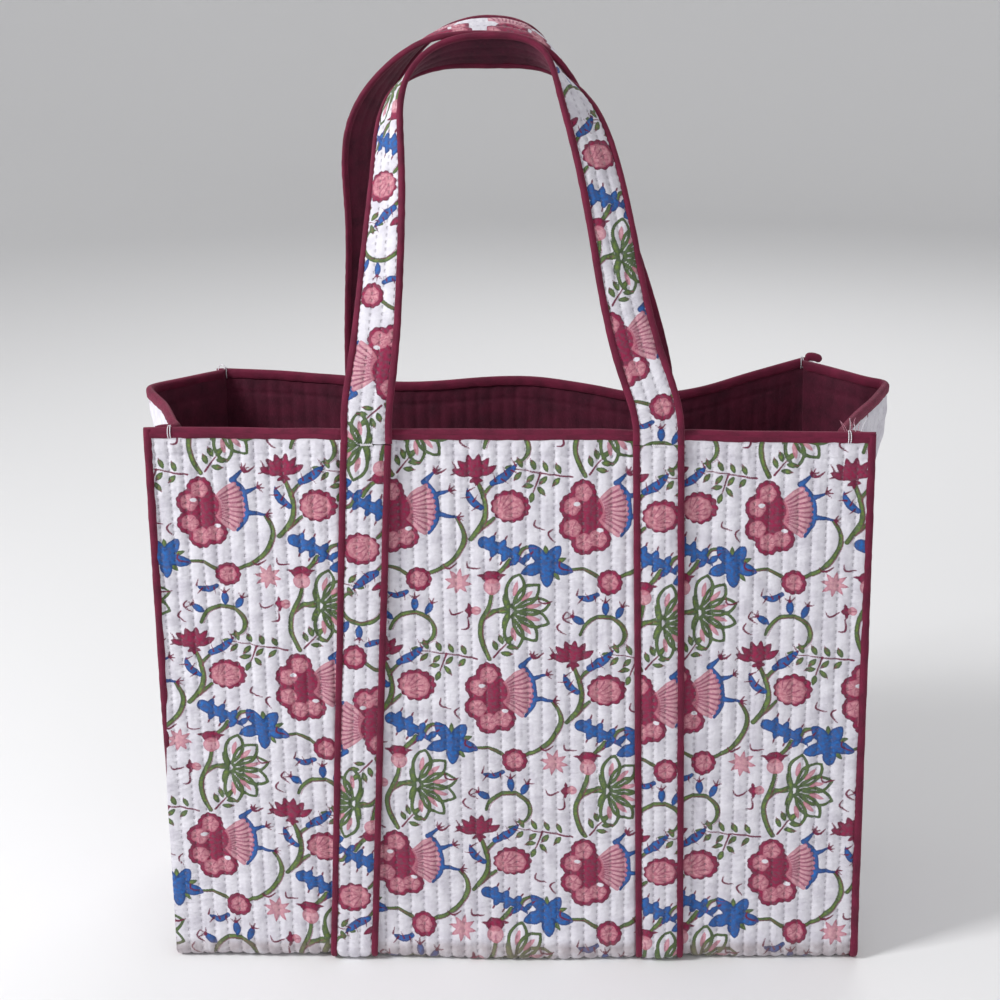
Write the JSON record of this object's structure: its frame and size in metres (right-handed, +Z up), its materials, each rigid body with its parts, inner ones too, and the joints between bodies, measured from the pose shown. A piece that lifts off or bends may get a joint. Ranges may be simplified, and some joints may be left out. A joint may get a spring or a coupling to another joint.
{
  "type": "knitting bag",
  "caption": "Open-topped quilted cotton knitting bag with printed panels, fold-out gussets, bound edges, strap bands round the body and loop handles that flop outwards.",
  "frame": {"origin": "under the middle of the bag, on the surface it stands on", "axes": "+Z up, -Y the front, +X to the right seen from the front"},
  "size_m": [0.5024, 0.1816, 0.6408],
  "materials": {
    "printed_cotton": "white block-printed cotton with a maroon, pink, blue and green floral, quilted",
    "cotton_wadding": "white needled cotton wadding",
    "lining_cotton": "plain maroon cotton, quilted, matt",
    "bias_binding": "folded maroon cotton bias tape, matt",
    "thread": "white polyester sewing thread, slight sheen"
  },
  "bodies": {
    "root": {"back_left_bar_tack": "thread", "back_left_corner_tack": "thread", "back_mouth_binding": "bias_binding", "back_right_bar_tack": "thread", "back_right_corner_tack": "thread", "body_lining": "lining_cotton", "body_print": "printed_cotton", "body_wadding": "cotton_wadding", "front_left_bar_tack": "thread", "front_left_corner_tack": "thread", "front_mouth_binding": "bias_binding", "front_right_bar_tack": "thread", "front_right_corner_tack": "thread", "left_band_backing": "lining_cotton", "left_band_left_binding": "bias_binding", "left_band_print": "printed_cotton", "left_band_right_binding": "bias_binding", "left_band_wadding": "cotton_wadding", "left_gusset_lining": "lining_cotton", "left_gusset_print": "printed_cotton", "left_gusset_wadding": "cotton_wadding", "left_mouth_binding": "bias_binding", "left_seam_binding": "bias_binding", "right_band_backing": "lining_cotton", "right_band_left_binding": "bias_binding", "right_band_print": "printed_cotton", "right_band_right_binding": "bias_binding", "right_band_wadding": "cotton_wadding", "right_gusset_lining": "lining_cotton", "right_gusset_print": "printed_cotton", "right_gusset_wadding": "cotton_wadding", "right_mouth_binding": "bias_binding", "right_seam_binding": "bias_binding"},
    "front_handle": {"front_handle_back_edge_binding": "bias_binding", "front_handle_backing": "lining_cotton", "front_handle_front_edge_binding": "bias_binding", "front_handle_print": "printed_cotton", "front_handle_wadding": "cotton_wadding"},
    "back_handle": {"back_handle_back_edge_binding": "bias_binding", "back_handle_backing": "lining_cotton", "back_handle_front_edge_binding": "bias_binding", "back_handle_print": "printed_cotton", "back_handle_wadding": "cotton_wadding"}
  },
  "joints": [
    {"name": "front_handle_hinge", "type": "hinge", "parent": "root", "child": "front_handle", "pos_m": [0, -0.0896, 0.38], "axis": [1, 0, 0], "range_deg": [0, 170]},
    {"name": "back_handle_hinge", "type": "hinge", "parent": "root", "child": "back_handle", "pos_m": [0, 0.0896, 0.38], "axis": [-1, 0, 0], "range_deg": [0, 170]}
  ]
}
